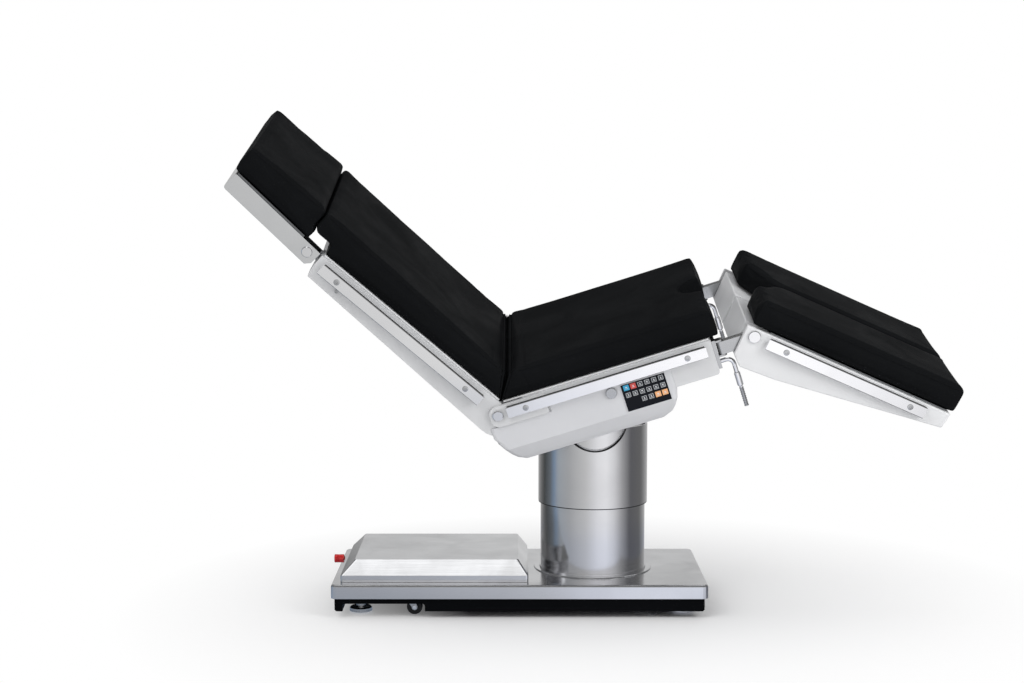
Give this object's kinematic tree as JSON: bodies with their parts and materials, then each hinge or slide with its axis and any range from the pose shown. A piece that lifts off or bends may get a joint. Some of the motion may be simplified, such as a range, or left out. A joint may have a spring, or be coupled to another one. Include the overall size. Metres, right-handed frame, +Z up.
{
  "type": "operating table",
  "caption": "Wheeled operating table with a telescopic column, a two-axis tilting top and jointed head, back, seat and leg sections with side rails and a hand-control panel.",
  "frame": {"origin": "on the floor, below the middle of the whole object at rest", "axes": "+Z up, +X towards the foot end, +Y towards the table's left side; the picture looks along +Y"},
  "size_m": [1.8071, 0.6649, 1.2861],
  "materials": {
    "steel": "brushed stainless sheet",
    "machined": "machined steel",
    "bright": "bright chrome",
    "paint": "pale grey powder coat",
    "shell": "pale grey moulded shell with satin enamel",
    "band": "moulded shell inside a polished steel band",
    "moulding": "pale grey moulding, fine texture",
    "casting": "black paint on the cast plinth",
    "tread": "dark grey castor tread",
    "foil": "black membrane foil",
    "red": "red plastic",
    "vinyl": "black smooth vinyl over foam"
  },
  "bodies": {
    "base": {"base_chassis": "casting", "base_deck": "steel", "drive_hood": "steel", "column_ring": "steel", "lower_column": "steel"},
    "stage": {"column_stage": "steel"},
    "lift": {"column_head": "machined", "column_sleeve": "steel"},
    "tilt_link": {"tilt_yoke": "machined"},
    "seat": {"seat_side_left": "paint", "seat_side_right": "paint", "seat_beam_head": "paint", "seat_beam_foot": "paint", "seat_housing": "moulding", "keypad_panel": "foil", "seat_board": "shell", "seat_pad": "vinyl", "seat_rail_left": "steel", "seat_rail_right": "steel", "hip_pin_left": "bright", "hip_pin_right": "bright", "knee_block_left": "machined", "knee_block_right": "machined"},
    "back": {"back_frame": "shell", "back_board": "shell", "back_pad": "vinyl", "back_rail_left": "steel", "back_rail_right": "steel"},
    "head": {"head_frame": "band", "head_board": "shell", "head_pad": "vinyl", "neck_pin_left": "bright", "neck_pin_right": "bright"},
    "knob": {"emergency_knob": "red"},
    "knee_link_left": {"knee_arm_left": "machined"},
    "leg_left": {"leg_frame_left": "shell", "leg_board_left": "shell", "leg_pad_left": "vinyl", "leg_rail_left": "steel", "knee_pin_left": "bright"},
    "lever_left": {"clamp_lever_left": "bright"},
    "knee_link_right": {"knee_arm_right": "machined"},
    "leg_right": {"leg_frame_right": "shell", "leg_board_right": "shell", "leg_pad_right": "vinyl", "leg_rail_right": "steel", "knee_pin_right": "bright"},
    "lever_right": {"clamp_lever_right": "bright"},
    "fork_head_left": {"castor_fork_head_left": "machined"},
    "wheel_head_left": {"castor_wheel_head_left": "tread"},
    "jack_head_left": {"jack_foot_head_left": "machined"},
    "fork_head_right": {"castor_fork_head_right": "machined"},
    "wheel_head_right": {"castor_wheel_head_right": "tread"},
    "jack_head_right": {"jack_foot_head_right": "machined"},
    "fork_foot_left": {"castor_fork_foot_left": "machined"},
    "wheel_foot_left": {"castor_wheel_foot_left": "tread"},
    "jack_foot_left": {"jack_foot_foot_left": "machined"},
    "fork_foot_right": {"castor_fork_foot_right": "machined"},
    "wheel_foot_right": {"castor_wheel_foot_right": "tread"},
    "jack_foot_right": {"jack_foot_foot_right": "machined"}
  },
  "joints": [
    {"name": "column_lift", "type": "slide", "parent": "base", "child": "lift", "axis": [0, 0, 1], "range_m": [-0.15, 0.13]},
    {"name": "stage_lift", "type": "slide", "parent": "base", "child": "stage", "axis": [0, 0, 1], "range_m": [-0.075, 0.065]},
    {"name": "lateral_tilt", "type": "hinge", "parent": "lift", "child": "tilt_link", "pos_m": [0.019, 0.05, 0.633], "axis": [1, 0, 0], "range_deg": [-31, 5]},
    {"name": "trendelenburg_tilt", "type": "hinge", "parent": "tilt_link", "child": "seat", "pos_m": [0.019, 0.05, 0.633], "axis": [0, 0.9744, 0.225], "range_deg": [-7, 38]},
    {"name": "back_lift", "type": "hinge", "parent": "seat", "child": "back", "pos_m": [-0.26068, 0.06311, 0.57622], "axis": [0, -0.9744, -0.225], "range_deg": [-10, 74.5]},
    {"name": "head_tilt", "type": "hinge", "parent": "back", "child": "head", "pos_m": [-0.71952, -0.03091, 0.98347], "axis": [0, -0.9744, -0.225], "range_deg": [0, 60]},
    {"name": "knob_push", "type": "slide", "parent": "base", "child": "knob", "axis": [1, 0, 0], "range_m": [0, 0.004]},
    {"name": "leg_swivel_left", "type": "hinge", "parent": "seat", "child": "knee_link_left", "pos_m": [0.29481, 0.25589, 0.77251], "axis": [-0.309, -0.2139, 0.9267], "range_deg": [0, 45]},
    {"name": "leg_tilt_left", "type": "hinge", "parent": "knee_link_left", "child": "leg_left", "pos_m": [0.36607, 0.0173, 0.77464], "axis": [0, -0.9744, -0.225], "range_deg": [-37.6, 52.4]},
    {"name": "lever_swing_left", "type": "hinge", "parent": "seat", "child": "lever_left", "pos_m": [0.31768, 0.25266, 0.76428], "axis": [-0.9511, 0.0695, -0.3011], "range_deg": [0, 80]},
    {"name": "leg_swivel_right", "type": "hinge", "parent": "seat", "child": "knee_link_right", "pos_m": [0.29481, -0.19621, 0.66813], "axis": [0.309, 0.2139, -0.9267], "range_deg": [0, 45]},
    {"name": "leg_tilt_right", "type": "hinge", "parent": "knee_link_right", "child": "leg_right", "pos_m": [0.36607, 0.0173, 0.77464], "axis": [0, -0.9744, -0.225], "range_deg": [-37.6, 52.4]},
    {"name": "lever_swing_right", "type": "hinge", "parent": "seat", "child": "lever_right", "pos_m": [0.31768, -0.1897, 0.66215], "axis": [0.9511, -0.0695, 0.3011], "range_deg": [0, 80]},
    {"name": "castor_swivel_head_left", "type": "hinge", "parent": "base", "child": "fork_head_left", "pos_m": [-0.489, 0.215, 0.05], "axis": [0, 0, 1], "continuous": true},
    {"name": "castor_roll_head_left", "type": "hinge", "parent": "fork_head_left", "child": "wheel_head_left", "pos_m": [-0.473, 0.215, 0.02], "axis": [0, 1, 0], "continuous": true},
    {"name": "jack_drop_head_left", "type": "slide", "parent": "base", "child": "jack_head_left", "axis": [0, 0, -1], "range_m": [0, 0.012]},
    {"name": "castor_swivel_head_right", "type": "hinge", "parent": "base", "child": "fork_head_right", "pos_m": [-0.489, -0.115, 0.05], "axis": [0, 0, 1], "continuous": true},
    {"name": "castor_roll_head_right", "type": "hinge", "parent": "fork_head_right", "child": "wheel_head_right", "pos_m": [-0.473, -0.115, 0.02], "axis": [0, 1, 0], "continuous": true},
    {"name": "jack_drop_head_right", "type": "slide", "parent": "base", "child": "jack_head_right", "axis": [0, 0, -1], "range_m": [0, 0.012]},
    {"name": "castor_swivel_foot_left", "type": "hinge", "parent": "base", "child": "fork_foot_left", "pos_m": [0.115, 0.215, 0.05], "axis": [0, 0, 1], "continuous": true},
    {"name": "castor_roll_foot_left", "type": "hinge", "parent": "fork_foot_left", "child": "wheel_foot_left", "pos_m": [0.131, 0.215, 0.02], "axis": [0, 1, 0], "continuous": true},
    {"name": "jack_drop_foot_left", "type": "slide", "parent": "base", "child": "jack_foot_left", "axis": [0, 0, -1], "range_m": [0, 0.012]},
    {"name": "castor_swivel_foot_right", "type": "hinge", "parent": "base", "child": "fork_foot_right", "pos_m": [0.115, -0.115, 0.05], "axis": [0, 0, 1], "continuous": true},
    {"name": "castor_roll_foot_right", "type": "hinge", "parent": "fork_foot_right", "child": "wheel_foot_right", "pos_m": [0.131, -0.115, 0.02], "axis": [0, 1, 0], "continuous": true},
    {"name": "jack_drop_foot_right", "type": "slide", "parent": "base", "child": "jack_foot_right", "axis": [0, 0, -1], "range_m": [0, 0.012]}
  ],
  "couplings": [
    {"joint": "stage_lift", "follows": "column_lift", "ratio": 0.5},
    {"joint": "jack_drop_head_right", "follows": "jack_drop_head_left", "ratio": 1},
    {"joint": "jack_drop_foot_left", "follows": "jack_drop_head_left", "ratio": 1},
    {"joint": "jack_drop_foot_right", "follows": "jack_drop_head_left", "ratio": 1}
  ]
}
